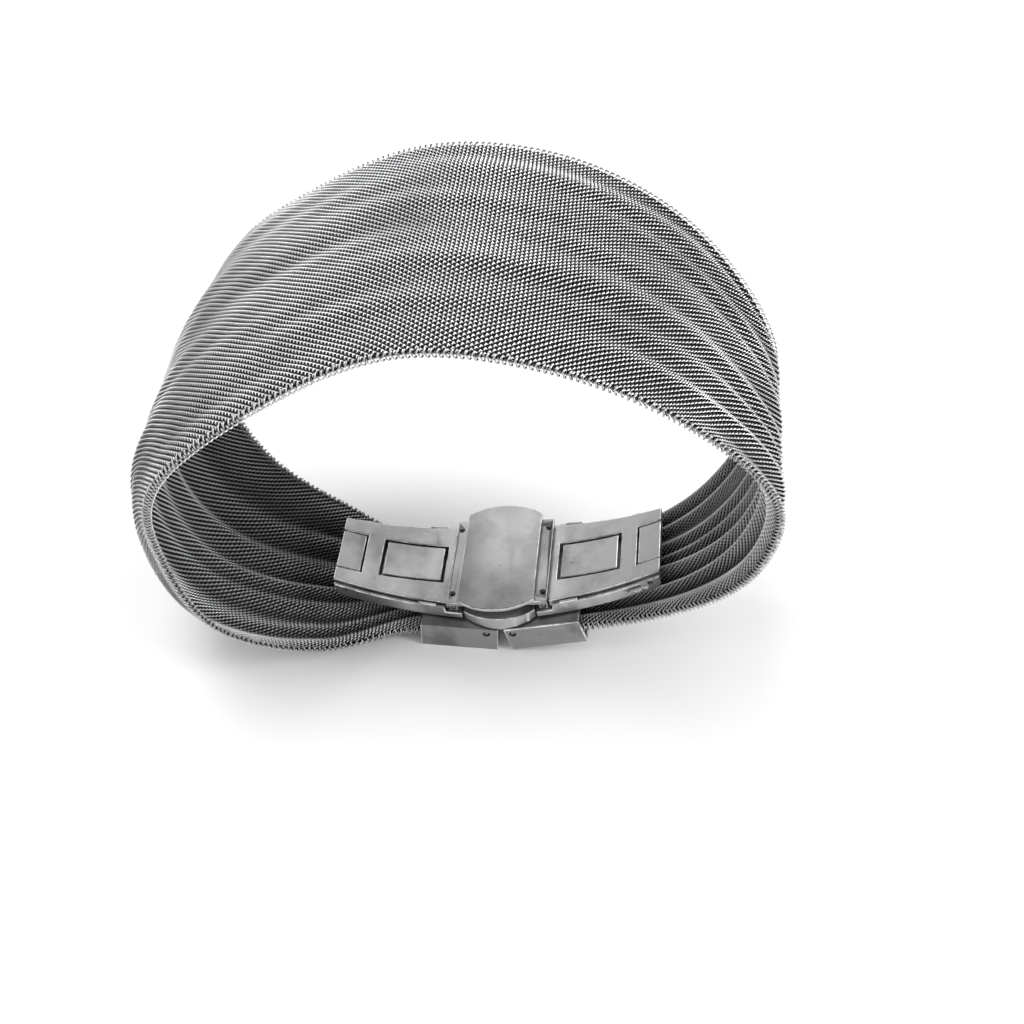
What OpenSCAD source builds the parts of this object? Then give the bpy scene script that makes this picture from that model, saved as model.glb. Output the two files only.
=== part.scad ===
// Mesh bracelet with a butterfly clasp, standing closed on its clasp.
// Units are millimetres. X runs along the clasp, Y across the band, Z is up.
// The origin is the middle of the left cap's flat underside, on the surface it rests on.

/* [Loop] */
// Overall length of the closed loop, from left to right
loop_w = 61; // [54:0.5:72]
// Height of the band's rims over the surface, at the top of the loop
loop_h = 50; // [44:0.5:60]
// Share of the loop's length that lies right of the clasp's seam
loop_right = 0.4; // [0.36:0.01:0.46]

/* [Woven band] */
// Width of the band at its widest place
band_w = 31; // [26:0.5:38]
// Thickness of the woven band
band_t = 1.0; // [0.8:0.05:1.3]
// Thickness of the gathered band where it enters a cap
mouth_t = 1.6; // [1.2:0.05:1.8]
// How far the gathered band reaches into a cap
mouth_in = 3; // [2:0.25:3.5]
// Number of pleats gathered across the band
pleats = 7; // [5:1:9]
// Height of a pleat's wave at a cap
pleat_h = 0.3; // [0.1:0.05:0.35]
// Length over which the pleats fade out, from a cap's mouth
pleat_fade = 58; // [35:1:70]
// Height of the soft ripples over the rest of the loop
ripple_h = 0.16; // [0:0.02:0.3]

/* [Caps] */
// Length of a cap, along the band
cap_l = 8.25; // [7.5:0.25:10]
// Width of a cap, across the band
cap_w = 13.3; // [12.4:0.1:15]
// Height of a cap
cap_h = 3.5; // [3.3:0.1:4.2]
// Wall of a cap
cap_wall = 0.45; // [0.35:0.05:0.6]
// Depth of the pocket that holds the gathered band
pocket_l = 4.4; // [4:0.1:5]
// Gap between the two caps at the top of the seam
seam_gap = 0.5; // [0.3:0.05:0.9]
// Angle by which each cap rises from the middle of the clasp
fold = 9; // [6:0.5:11]
// Distance of the left cap's pin from the seam end
left_pin_in = 1.25; // [0.85:0.05:1.4]
// Distance of the right cap's pin from the seam end
right_pin_in = 0.8; // [0.75:0.05:1.4]
// Height of a cap's pin over the underside
cap_pin_up = 2.7; // [2.5:0.05:2.75]

/* [Arms] */
// Distance from the clasp's middle to an arm's outer end
arm_l = 17; // [16:0.25:19]
// Width of an arm at its inner end
arm_in_w = 10.2; // [9.6:0.1:10.8]
// Width of an arm at its outer end
arm_out_w = 8.3; // [7.8:0.1:9.4]
// Thickness of an arm
arm_t = 0.95; // [0.8:0.05:1.05]
// Thickness of an arm's forked outer end
fork_t = 1.9; // [1.7:0.05:2.1]
// Radius of an arm's curve
arm_curve = 36; // [32:0.5:50]
// Height of the arms at the lowest place of their curve
arm_low = 6.25; // [6.2:0.05:6.6]
// Distance of that lowest place from the clasp's middle
arm_low_x = 1.3; // [0.8:0.1:1.8]
// Distance from the clasp's middle to a window's inner edge
window_x = 6.05; // [5.9:0.05:6.6]
// Length of a window
window_l = 6.75; // [6:0.05:7]
// Width of a window, across the arm
window_w = 4.9; // [4.3:0.1:5.4]
// Length of the notch in an arm's outer end
notch_l = 2.5; // [2.2:0.1:2.7]
// Width of that notch
notch_w = 5.1; // [4.6:0.1:5.4]

/* [Leaves] */
// Thickness of a leaf, the plate under an arm
leaf_t = 0.75; // [0.6:0.05:0.9]
// Width of the lip that a leaf shows beside its arm
lip_w = 0.32; // [0.25:0.01:0.4]
// Depth of the lip below the arm's face
lip_drop = 0.4; // [0.2:0.05:0.5]
// Distance from the clasp's middle to the lip's raised shoulder
shoulder_x = 6.5; // [6:0.1:7.5]
// Length of that shoulder
shoulder_l = 1.9; // [1:0.1:2.5]
// Depth of the shoulder below the arm's face
shoulder_drop = 0.15; // [0.1:0.05:0.3]
// Gap between the leaf's raised tongue and the ends of the arm's window
tongue_gap = 0.36; // [0.2:0.02:0.6]
// Diameter of the three small pits in the right leaf's near lip
pit_d = 0.34; // [0.2:0.02:0.4]
// Width of the lug that holds a leaf to its cap
lug_w = 4.8; // [4:0.1:5]

/* [Carrier] */
// Length of the carrier plate, along the clasp
carrier_l = 10.5; // [10:0.1:10.8]
// Width of the carrier plate, across the clasp
carrier_w = 11.2; // [10.8:0.1:11.6]
// Height of the carrier plate's upper face
carrier_top = 6.96; // [6.92:0.02:7.1]
// Thickness of the carrier plate
carrier_t = 0.58; // [0.4:0.02:0.6]
// Distance of a rivet from the clasp's middle, along the clasp
rivet_x = 4.77; // [4.5:0.01:4.85]
// Distance of a rivet from the clasp's middle, across the clasp
rivet_y = 4.35; // [3.8:0.05:5]
// Diameter of a rivet
rivet_d = 0.44; // [0.3:0.02:0.46]
// Diameter of the sunken ring round a rivet
rivet_ring = 0.7; // [0.54:0.02:0.74]
// Depth of the sunken ring
ring_deep = 0.25; // [0.1:0.05:0.35]
// Width of the webs that guide the buttons' rods
web_w = 4; // [2:0.25:6]
// Distance of a web's inner face from the clasp's middle
web_y = 2.8; // [2.6:0.05:3.2]

/* [Centre plate] */
// Width of the centre plate, along the clasp
plate_w = 8.05; // [7.4:0.05:8.1]
// Radius of the plate's round ends
plate_r = 7.1; // [6.8:0.05:7.6]
// Height of the plate's upper face
plate_top = 7.7; // [7.55:0.05:8.1]
// Thickness of the plate's rim
plate_t = 0.45; // [0.35:0.05:0.5]
// Width of the dark step under the plate's rim
plate_step = 0.3; // [0.15:0.05:0.5]

/* [Buttons] */
// Width of a push button
button_w = 7.6; // [6.8:0.1:7.7]
// Radius of a push button's round front
button_r = 6.65; // [6.4:0.05:6.9]
// Height of a push button's upper face
button_top = 5.4; // [5.2:0.05:5.5]
// Distance from the clasp's middle to a push button's back
button_back = 4.4; // [4.35:0.05:4.6]
// Diameter of a push button's guide rod
rod_d = 0.8; // [0.6:0.05:0.9]
// Height of the guide rods' middle line
rod_z = 4.6; // [4.5:0.05:4.8]
// How far a push button moves
press = 0.5; // [0.3:0.05:0.5]

/* [Pins and gaps] */
// Diameter of the pins of the caps
cap_pin_d = 0.6; // [0.4:0.05:0.65]
// Diameter of the holes for the caps' pins
cap_hole_d = 0.8; // [0.7:0.02:0.85]
// Diameter of the hinge pins of the arms
hinge_pin_d = 0.5; // [0.4:0.02:0.52]
// Diameter of the holes for the hinge pins
hinge_hole_d = 0.6; // [0.56:0.02:0.62]
// Gap between pieces that lie beside each other
gap = 0.12; // [0.08:0.01:0.16]
// Gap between an arm and the leaf under it
leaf_gap = 0.2; // [0.18:0.01:0.22]
// Gap between pieces that lie on each other
seat_gap = 0.02; // [0.01:0.01:0.04]
// Room between an arm's outer end and the band's middle beside it, along X
band_room = 0.7; // [0.5:0.05:1.5]

/* [Hidden] */
steel = [0.62, 0.62, 0.63];
dark_steel = [0.5, 0.5, 0.51];
mesh_steel = [0.7, 0.7, 0.72];
// How far a cut reaches past the face that it opens
past = 1;
arc_fn = 180;
hole_fn = 40;

// The clasp is drawn level and even on both sides, then leans until its left cap lies flat.
cap_foot = seam_gap / 2 + cap_h * sin(fold);
seat_x = cap_foot * cos(fold) + cap_l / 2;
seat_z = cap_foot * sin(fold);

module seated()
    translate([seat_x, 0, seat_z]) rotate([0, -fold, 0]) children();

module on_left()
    mirror([1, 0, 0]) children();

module in_cap()
    translate([cap_foot, 0, 0]) rotate([0, -fold, 0]) children();

// A flat shape in X and Z, drawn out along Y and centred on the clasp's middle line.
module across(width)
    rotate([90, 0, 0]) linear_extrude(height = width, center = true) children();

module rod(x, z, d, width)
    translate([x, 0, z]) rotate([90, 0, 0]) cylinder(d = d, h = width, center = true, $fn = hole_fn);

module block(x0, x1, width, z0, z1)
    translate([x0, -width / 2, z0]) cube([x1 - x0, width, z1 - z0]);

// The arms' curve: its depth below the arm's face, from x0 to x1.
arc_z = arm_low + arm_curve;
function arm_top(x) = arc_z - sqrt(arm_curve * arm_curve - (x - arm_low_x) * (x - arm_low_x));

module curved_bar(depth0, depth1, x0, x1)
    intersection() {
        translate([arm_low_x, arc_z]) difference() {
            circle(r = arm_curve + depth1, $fn = arc_fn);
            circle(r = arm_curve + depth0, $fn = arc_fn);
        }
        translate([x0, 0]) square([x1 - x0, arc_z]);
    }

// An arm's outline seen from above, with a rim added on both sides.
function half_width(x) = (arm_in_w + (arm_out_w - arm_in_w) * (x - arm_x) / (arm_l - arm_x)) / 2;

module plan(x0, x1, rim)
    linear_extrude(height = arc_z) polygon([
        [x0, -half_width(x0) - rim],
        [x1, -half_width(x1) - rim],
        [x1, half_width(x1) + rim],
        [x0, half_width(x0) + rim]
    ]);

arm_x = carrier_l / 2 + gap;
barrel_r = 0.46;
barrel_w = 9.2;
barrel_gap = 0.09;
hinge_x = rivet_x;
hinge_z = carrier_top - carrier_t - barrel_gap - barrel_r;
pin_end = 1;
outer_x = arm_l - pin_end;
outer_z = arm_top(outer_x) - fork_t / 2;
fork_l = notch_l - pin_end / 2;
join = 0.3;

// The forked arm that lies against the wrist, with a window, a notch and a barrel at each end.
module arm() {
    link_x = arm_x + join;
    difference() {
        union() {
            intersection() {
                across(2 * arm_in_w) {
                    curved_bar(0, arm_t, arm_x, arm_l);
                    curved_bar(0, fork_t, arm_l - fork_l, arm_l);
                }
                plan(arm_x, arm_l, 0);
            }
            rod(hinge_x, hinge_z, 2 * barrel_r, barrel_w);
            block(hinge_x, link_x, barrel_w, arm_top(link_x) - arm_t, hinge_z + barrel_r - barrel_gap);
        }
        block(window_x, window_x + window_l, window_w, 0, arc_z);
        block(arm_l - notch_l, arm_l + past, notch_w, 0, arc_z);
        rod(hinge_x, hinge_z, hinge_hole_d, 2 * arm_in_w);
        rod(outer_x, outer_z, hinge_hole_d, 2 * arm_in_w);
    }
}

// The leaf under an arm: a curved plate with lips, a raised tongue, a knuckle and a lug to its cap.
leaf_in = 1.3;
leaf_x = carrier_l / 2 - leaf_in;
leaf_top = arm_t + leaf_gap;
leaf_low = leaf_top + leaf_t;
lug_r = 0.72;
flush = 0.06;
function lug_place(pin_in) = [cap_foot + pin_in * cos(fold) - cap_pin_up * sin(fold),
    pin_in * sin(fold) + cap_pin_up * cos(fold)];

tongue_end = window_x + window_l - tongue_gap;
knuckle_x = arm_l - notch_l + tongue_gap / 2;
fork_x = arm_l - fork_l - gap;

// The room that a leaf leaves for its arm, apart from the tongue and the knuckle.
module arm_room() {
    full = 4 * arm_in_w;
    difference() {
        union() {
            intersection() {
                across(full) curved_bar(-past, leaf_top, leaf_x - past, arm_l + past);
                plan(leaf_x - past, arm_l + past, gap);
            }
            across(full) curved_bar(-past, lip_drop, shoulder_x + shoulder_l, arm_l + past);
            across(full)
                curved_bar(-past, shoulder_drop, shoulder_x - past, shoulder_x + shoulder_l + past);
            across(full) curved_bar(-past, lip_drop, arm_x, shoulder_x);
            across(full) curved_bar(-past, leaf_top, leaf_x - past, arm_x + join);
            intersection() {
                across(full) curved_bar(-past, leaf_low + past, fork_x, arm_l + past);
                plan(leaf_x - past, arm_l + past, gap);
            }
        }
        block(window_x + tongue_gap, tongue_end, window_w - 4 * gap, 0, arc_z);
        block(knuckle_x, arm_l + past, notch_w - 2 * gap, 0, arc_z);
    }
}

module leaf_lug(pin_in) {
    lug_x = lug_place(pin_in)[0];
    lug_z = lug_place(pin_in)[1];
    lug_top = arm_top(leaf_x) - leaf_top - seat_gap;
    rod(lug_x, lug_z, 2 * lug_r, lug_w);
    block(lug_x - lug_r + seat_gap, lug_x + lug_r - seat_gap, lug_w, lug_z, lug_top);
    block(lug_x, leaf_x + join, lug_w, lug_top - leaf_t + 2 * seat_gap, lug_top);
}

module leaf(pin_in)
    difference() {
        union() {
            difference() {
                intersection() {
                    across(2 * arm_in_w) curved_bar(flush, leaf_low, leaf_x, arm_l);
                    plan(leaf_x, arm_l, lip_w + gap);
                }
                arm_room();
            }
            leaf_lug(pin_in);
        }
        rod(lug_place(pin_in)[0], lug_place(pin_in)[1], cap_hole_d, 2 * lug_w);
        rod(outer_x, outer_z, hinge_hole_d, 2 * arm_in_w);
    }

// Three shallow pits in the near side of one leaf, close to its outer end.
pit_x = 14;
pit_step = 0.56;
pit_deep = 0.1;

module pits()
    for (i = [0:2])
        let(x = pit_x + i * pit_step)
            translate([x, -half_width(x) - gap - lip_w + pit_deep, arm_top(x) - (lip_drop + leaf_low) / 2])
                rotate([90, 0, 0]) cylinder(d = pit_d, h = past, $fn = hole_fn);

// The cap over the band's end: a pocket for the band, a slot for the leaf's lug, a hole for the pin.
module cap(pin_in) {
    slot_x = lug_r + 2.5 * gap;
    in_cap() difference() {
        block(0, cap_l, cap_w, 0, cap_h);
        block(cap_l - pocket_l, cap_l + past, cap_w - 2 * cap_wall, cap_wall, cap_h - cap_wall);
        block(pin_in - slot_x, pin_in + slot_x, lug_w + 2 * gap,
            cap_pin_up - lug_r - gap, cap_h + past);
        rod(pin_in, cap_pin_up, cap_hole_d, 2 * cap_w);
    }
}

module cap_pin(pin_in)
    in_cap() rod(pin_in, cap_pin_up, cap_pin_d, cap_w - 2 * gap);

module outer_pin()
    rod(outer_x, outer_z, hinge_pin_d, 2 * half_width(outer_x));

// The carrier: a plate, four ears for the hinge pins and two webs that guide the buttons' rods.
ear_t = 0.6;
ear_y = barrel_w / 2 + gap;
ear_low = 0.42;
web_t = button_back - press - gap - web_y;

module inner_pin()
    rod(hinge_x, hinge_z, hinge_pin_d, 2 * (ear_y + ear_t));

module carrier_body() {
    under = carrier_top - carrier_t;
    difference() {
        union() {
            block(-carrier_l / 2, carrier_l / 2, carrier_w, under, carrier_top);
            for (x = [-hinge_x, hinge_x], side = [0, 1])
                mirror([0, side, 0]) translate([x - barrel_r, ear_y, hinge_z - ear_low])
                    cube([2 * barrel_r, ear_t, under - hinge_z + ear_low]);
            for (side = [0, 1])
                mirror([0, side, 0]) translate([-web_w / 2, web_y, rod_z - rod_d])
                    cube([web_w, web_t, under - rod_z + rod_d]);
        }
        for (x = [-hinge_x, hinge_x])
            rod(x, hinge_z, hinge_hole_d, 2 * carrier_w);
        rod(0, rod_z, rod_d + gap, 2 * carrier_w);
        for (x = [-rivet_x, rivet_x], y = [-rivet_y, rivet_y]) {
            translate([x, y, under - past])
                cylinder(d = rivet_d + 2 * seat_gap, h = carrier_t + 2 * past, $fn = hole_fn);
            translate([x, y, carrier_top - ring_deep]) cylinder(d = rivet_ring, h = past, $fn = hole_fn);
        }
    }
}

module rivet()
    translate([rivet_x, rivet_y, carrier_top - carrier_t])
        cylinder(d = rivet_d, h = carrier_t - seat_gap, $fn = hole_fn);

// A round ended shape: a circle cut by two straight sides.
module round_ended(width, r, z0, z1)
    translate([0, 0, z0]) linear_extrude(height = z1 - z0) intersection() {
        circle(r = r, $fn = arc_fn);
        square([width, 3 * r], center = true);
    }

module plate() {
    round_ended(plate_w, plate_r, plate_top - plate_t, plate_top);
    round_ended(plate_w - 2 * plate_step, plate_r - plate_step,
        carrier_top + seat_gap, plate_top - plate_t);
}

// A push button: a head with a round front and a raised underside, and its guide rod.
module button() {
    head_low = cap_h * cos(fold) + 1.3 * gap;
    rise = button_w / 2 * tan(fold);
    rod_in = 0.8;
    difference() {
        intersection() {
            across(4 * button_r) polygon([
                [-button_w / 2, head_low + rise],
                [0, head_low],
                [button_w / 2, head_low + rise],
                [button_w / 2, button_top],
                [-button_w / 2, button_top]
            ]);
            cylinder(r = button_r, h = 2 * button_top, $fn = arc_fn);
        }
        translate([-button_r, -button_back, 0]) cube([2 * button_r, 4 * button_r, 2 * button_top]);
    }
    translate([0, -button_back - join, rod_z]) rotate([-90, 0, 0])
        cylinder(d = rod_d, h = button_back + join - rod_in, $fn = hole_fn);
}

// The woven band. Each row is a section along the loop, from the right cap over the top to the left.
// Its columns are shares: place along X of loop_w (0 is the seam), height of loop_h, and of band_w the
// half width, the bulge between the rims and the shift of the middle away from the viewer.
// The first row lies beside the right arm's end, so its place is measured from there.
BESIDE_ARM = [0.212, 0.232, 0.016, -0.032];
SECTIONS = [
    [0.388, 0.412, 0.298, 0.012, -0.060],
    [0.403, 0.650, 0.332, 0.006, -0.080],
    [0.275, 0.852, 0.410, 0.010, -0.046],
    [0.084, 0.966, 0.446, 0.018, -0.010],
    [-0.130, 0.975, 0.454, 0.028, 0.006],
    [-0.322, 0.860, 0.482, 0.038, -0.012],
    [-0.478, 0.684, 0.503, 0.050, -0.040],
    [-0.515, 0.442, 0.397, 0.148, -0.076],
    [-0.449, 0.210, 0.381, 0.190, -0.086],
    [-0.307, 0.078, 0.316, 0.121, -0.048]
];
SX = 0;
SZ = 1;
HALF = 2;
BULGE = 3;
SHIFT = 4;
bulge_power = 4;
across_n = 34;
along_n = 60;
mouth_half = cap_w / 2 - cap_wall - gap;
end_step = 12;

// The middle of a cap's mouth and the way out of it, in X and Z.
function mouth(side) = let(a = side > 0 ? 2 * fold : 0)
    [seat_x + side * cap_foot * cos(fold) + side * cap_l * cos(a) - (side > 0 ? sin(a) * cap_h / 2 : 0),
     (side > 0 ? 2 * seat_z : 0) + cap_l * sin(a) + cos(a) * cap_h / 2];
function way_out(side) = let(a = side > 0 ? 2 * fold : 0) [side * cos(a), sin(a)];
function end_row(side, inward) = let(p = mouth(side) - inward * way_out(side))
    [p[0], p[1], mouth_half, 0, 0];
function real_row(row) = [seat_x + (row[SX] + (loop_right - 0.4)) * loop_w, row[SZ] * loop_h,
    row[HALF] * band_w, row[BULGE] * band_w, row[SHIFT] * band_w];
arm_row = [seat_x + arm_l + band_room, BESIDE_ARM[0] * loop_h, for (i = [1:3]) BESIDE_ARM[i] * band_w];
ROWS = concat([end_row(1, mouth_in), end_row(1, 0), arm_row], [for (row = SECTIONS) real_row(row)],
    [end_row(-1, 0), end_row(-1, mouth_in)]);

// Distances along the loop, then a smooth curve through the rows.
last = len(ROWS) - 1;
STEPS = [for (i = [0:last - 1]) norm([ROWS[i + 1][0] - ROWS[i][0], ROWS[i + 1][1] - ROWS[i][1]])];
function run(i) = i == 0 ? 0 : run(i - 1) + STEPS[i - 1];
PLACES = [for (i = [0:last]) run(i)];
loop_run = PLACES[last];
SLOPES = [for (i = [0:last - 1]) (ROWS[i + 1] - ROWS[i]) / STEPS[i]];
TANGENTS = [for (i = [0:last]) i == 0 ? SLOPES[0] : i == last ? SLOPES[last - 1] :
    (SLOPES[i - 1] * STEPS[i] + SLOPES[i] * STEPS[i - 1]) / (STEPS[i - 1] + STEPS[i])];
function span(s, i = 0) = i == last - 1 || s < PLACES[i + 1] ? i : span(s, i + 1);
function blend(i, t) = ROWS[i] * (2 * t * t * t - 3 * t * t + 1) + ROWS[i + 1] * (3 * t * t - 2 * t * t * t)
    + STEPS[i] * (TANGENTS[i] * (t * t * t - 2 * t * t + t) + TANGENTS[i + 1] * (t * t * t - t * t));
function section(s) = let(i = span(s)) blend(i, (s - PLACES[i]) / STEPS[i]);

function ease(t) = let(c = min(1, max(0, t))) c * c * (3 - 2 * c);
function from_mouth(s) = max(0, min(s, loop_run - s) - mouth_in);
function wave_h(s) = ripple_h + (pleat_h - ripple_h) * ease(1 - from_mouth(s) / pleat_fade);
function thick(s) = band_t + (mouth_t - band_t) * ease(1 - from_mouth(s) / end_step);

// One closed ring of points per section: the outer face, then the inner face back.
slope_step = 0.1;
function ring(s) =
    let(here = section(s), ahead = section(min(s + slope_step, loop_run)))
    let(behind = section(max(s - slope_step, 0)))
    let(way = [ahead[0] - behind[0], ahead[1] - behind[1]], out = [way[1], -way[0]] / norm(way))
    [for (face = [0, 1]) for (j = [0:across_n])
        let(v = -1 + 2 * (face == 0 ? j : across_n - j) / across_n)
        let(off = here[BULGE] * (1 - pow(abs(v), bulge_power)) - face * thick(s)
            + wave_h(s) * (cos(180 * pleats * (v + 1)) - 1) + rise_at(s))
        [here[0] + out[0] * off, here[SHIFT] + here[HALF] * v, here[1] + out[1] * off]];
function rise_at(s) = (thick(s) / 2 + wave_h(s)) * ease(1 - from_mouth(s) / end_step);

module woven_band() {
    rings = [for (i = [0:along_n]) ring(loop_run * i / along_n)];
    count = 2 * (across_n + 1);
    points = [for (r = rings) each r];
    sides = [for (i = [0:along_n - 1]) for (j = [0:count - 1])
        let(a = i * count + j, b = i * count + (j + 1) % count)
        each [[a, a + count, b], [b, a + count, b + count]]];
    ends = [for (j = [0:across_n - 1]) let(far = along_n * count, k = count - 1 - j)
        each [[j, j + 1, k], [j + 1, k - 1, k], [far + j, far + k, far + j + 1],
            [far + j + 1, far + k, far + k - 1]]];
    polyhedron(points = points, faces = concat(sides, ends), convexity = 10);
}

module mesh_band()
    color(mesh_steel) woven_band();

module cap_left()
    color(steel) seated() on_left() cap(left_pin_in);

module cap_right()
    color(steel) seated() cap(right_pin_in);

module cap_pin_left()
    color(dark_steel) seated() on_left() cap_pin(left_pin_in);

module cap_pin_right()
    color(dark_steel) seated() cap_pin(right_pin_in);

module leaf_left()
    color(steel) seated() on_left() leaf(left_pin_in);

module leaf_right()
    color(steel) seated() difference() {
        leaf(right_pin_in);
        pits();
    }

module arm_left()
    color(steel) seated() on_left() arm();

module arm_right()
    color(steel) seated() arm();

module outer_pin_left()
    color(dark_steel) seated() on_left() outer_pin();

module outer_pin_right()
    color(dark_steel) seated() outer_pin();

module inner_pin_left()
    color(dark_steel) seated() on_left() inner_pin();

module inner_pin_right()
    color(dark_steel) seated() inner_pin();

module carrier()
    color(steel) seated() carrier_body();

module centre_plate()
    color(steel) seated() plate();

module rivet_near_left()
    color(dark_steel) seated() rotate(180) rivet();

module rivet_near_right()
    color(dark_steel) seated() mirror([0, 1, 0]) rivet();

module rivet_far_left()
    color(dark_steel) seated() on_left() rivet();

module rivet_far_right()
    color(dark_steel) seated() rivet();

module button_near()
    color(dark_steel) seated() button();

module button_far()
    color(dark_steel) seated() mirror([0, 1, 0]) button();

mesh_band();
cap_left();
cap_right();
cap_pin_left();
cap_pin_right();
leaf_left();
leaf_right();
arm_left();
arm_right();
outer_pin_left();
outer_pin_right();
inner_pin_left();
inner_pin_right();
carrier();
centre_plate();
rivet_near_left();
rivet_near_right();
rivet_far_left();
rivet_far_right();
button_near();
button_far();
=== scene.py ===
"""Mesh bracelet: a wide loop of woven wire, gathered into the caps of a butterfly clasp."""

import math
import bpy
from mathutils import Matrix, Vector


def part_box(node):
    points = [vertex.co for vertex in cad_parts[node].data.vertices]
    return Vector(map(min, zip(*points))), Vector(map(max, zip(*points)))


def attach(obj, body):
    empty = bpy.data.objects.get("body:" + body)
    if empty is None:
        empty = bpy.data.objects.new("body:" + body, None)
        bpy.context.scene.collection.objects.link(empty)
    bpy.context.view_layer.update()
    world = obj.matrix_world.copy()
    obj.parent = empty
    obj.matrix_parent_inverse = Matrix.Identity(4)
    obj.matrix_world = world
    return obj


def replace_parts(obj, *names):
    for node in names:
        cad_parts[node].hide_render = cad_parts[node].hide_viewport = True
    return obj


bl_info = {
    "name": "Mesh bracelet",
    "version": (1, 0, 0),
    "blender": (4, 5, 0),
    "location": "View3D > Sidebar > Bracelet",
    "description": "Weaves the band, finishes the clasp and sets the stage of a mesh bracelet",
    "category": "Object",
}

import bmesh
import bpy
import numpy as np
from bpy.props import FloatProperty, FloatVectorProperty, IntProperty, PointerProperty
from mathutils import Vector

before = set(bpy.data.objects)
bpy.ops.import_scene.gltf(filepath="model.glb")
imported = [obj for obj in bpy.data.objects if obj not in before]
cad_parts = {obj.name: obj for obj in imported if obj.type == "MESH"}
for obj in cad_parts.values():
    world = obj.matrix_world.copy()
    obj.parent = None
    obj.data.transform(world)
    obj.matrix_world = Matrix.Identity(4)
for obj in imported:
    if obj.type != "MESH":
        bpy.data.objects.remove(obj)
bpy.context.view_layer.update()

CAP_LOW, CAP_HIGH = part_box("cap_left")
BODY = "bracelet"

# The band's sections, from the right cap over the top to the left cap. The columns are the place
# along X as a share of the loop's length with 0 at the seam, the height as a share of the loop's
# height, and as shares of the band's width its half width, its bulge and its shift along Y.
SECTIONS = (
    (0.290, 0.212, 0.232, 0.016, -0.032),
    (0.388, 0.412, 0.298, 0.012, -0.060),
    (0.403, 0.650, 0.332, 0.006, -0.080),
    (0.275, 0.852, 0.410, 0.010, -0.046),
    (0.084, 0.966, 0.446, 0.018, -0.010),
    (-0.130, 0.975, 0.454, 0.028, 0.006),
    (-0.322, 0.860, 0.482, 0.038, -0.012),
    (-0.478, 0.684, 0.503, 0.050, -0.040),
    (-0.515, 0.442, 0.397, 0.148, -0.076),
    (-0.449, 0.210, 0.381, 0.190, -0.086),
    (-0.307, 0.078, 0.316, 0.121, -0.048),
)
# How flat the bulge is in the middle of the band: the power of its curve.
BULGE_POWER = 4
# Distance from a cap's mouth over which the band leaves the pocket's middle, in metres.
SEAT_FADE = 0.012
# Surplus of the flat width over the real width at which the pleats reach their full height.
FULL_GATHER = 0.4

# Waves that keep the pleats and ripples uneven. The columns are the height, the radians across
# half the band, the radians along the whole loop and the start in radians.
PLEAT_SWAY = ((0.05, 4.3, 8.0, 0.0), (0.03, 9.7, -15.0, 1.3))
PLEAT_HEIGHTS = ((0.45, 3.1, 5.0, 1.7),)
RIPPLES = (
    (1.0, 8.3, 5.1, 0.6),
    (0.8, 13.7, -9.3, 2.0),
    (0.6, 21.1, 13.7, 0.0),
    (0.3, 33.0, -21.0, 0.0),
)
# The ripples' swing and how far they sink below the band's face, as shares of the ripple height.
RIPPLE_SWING = 0.5
RIPPLE_SINK = 0.7
# Share of the half width beside each rim where the ripples fade out.
RIPPLE_FADE = 0.2
# How far up a ripple a place is, as a share, for each unit of the ripples' wave.
RIPPLE_SHARE = 0.3
# Share of the steel's brightness that painted shade takes between the pleats, and between the ripples.
PLEAT_SHADE = 0.85
RIPPLE_SHADE = 0.25

# One turn of a wire coil. The columns are the share of the turn's step across the band, the place
# along the band as a share of the turn's reach and the depth as a share of the weave's depth.
TURN = (
    (0.0, 1.0, 0.46),
    (0.25, 0.0, 0.0),
    (0.5, -1.0, 0.46),
    (0.56, -0.2, 1.0),
    (0.94, 0.2, 1.0),
)
# Every other coil is moved across the band by this share of a turn.
COIL_SHIFT = 0.5
COIL_SIDES = 3
# The coils are made in this many stretches of the loop.
STRETCHES = 5
# Points across the band where its pleated width is measured, and where it is then divided evenly.
MEASURED_PLACES = 281
EVEN_PLACES = 401

# The rows of hairpins along a rim: the place along the step, and the shares of the weave's depth
# where a hairpin starts and ends.
RIM_ROWS = (
    (0.25, 0.0, 0.5),
    (0.75, 1.0, 0.5),
)
# The half turns where a hairpin's bend starts and ends, and its points and sides.
RIM_BEND = (-0.1, 1.1)
RIM_POINTS = 9
RIM_SIDES = 5
# How wide a hairpin is, as a share of the hairpins' step.
RIM_LEAN = 0.56
# Share of the weave's depth whose finish the hairpins take, which darkens them with part of the painted
# shade of the depth.
RIM_SHARE = 0.26

# The dark sheet of painted shade inside the weave: its cells along and across the band, the share of the
# width that it leaves free at each rim, and its two faces as shares of the weave's depth.
CORE_CELLS = (150, 34)
CORE_RIM = 0.004
CORE_FACES = (0.42, 0.58)

# The clasp's pieces: the width of the worn bevel in metres, the name of a material slot, which nothing
# here uses, and the steel.
CLASP_PIECES = {
    # The caps take a darker copy of the steel as painted shade; the right leaf and arm, the plate and
    # the buttons take lighter copies as painted light.
    "cap_left": (0.00012, "clasp_steel", "cap"),
    "cap_right": (0.00012, "clasp_steel", "cap"),
    "leaf_left": (0.0001, "clasp_steel", "leaf"),
    "leaf_right": (0.0001, "clasp_steel", "bright"),
    "arm_left": (0.00008, "clasp_steel", "leaf"),
    "arm_right": (0.00008, "clasp_steel", "bright"),
    "carrier": (0.00008, "clasp_steel", "leaf"),
    "centre_plate": (0.0001, "plate_steel", "plate"),
    "button_near": (0.0001, "button_steel", "button"),
    "button_far": (0.0001, "button_steel", "button"),
}
BUTTON_BODIES = {"button_near": "near_button", "button_far": "far_button"}
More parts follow.
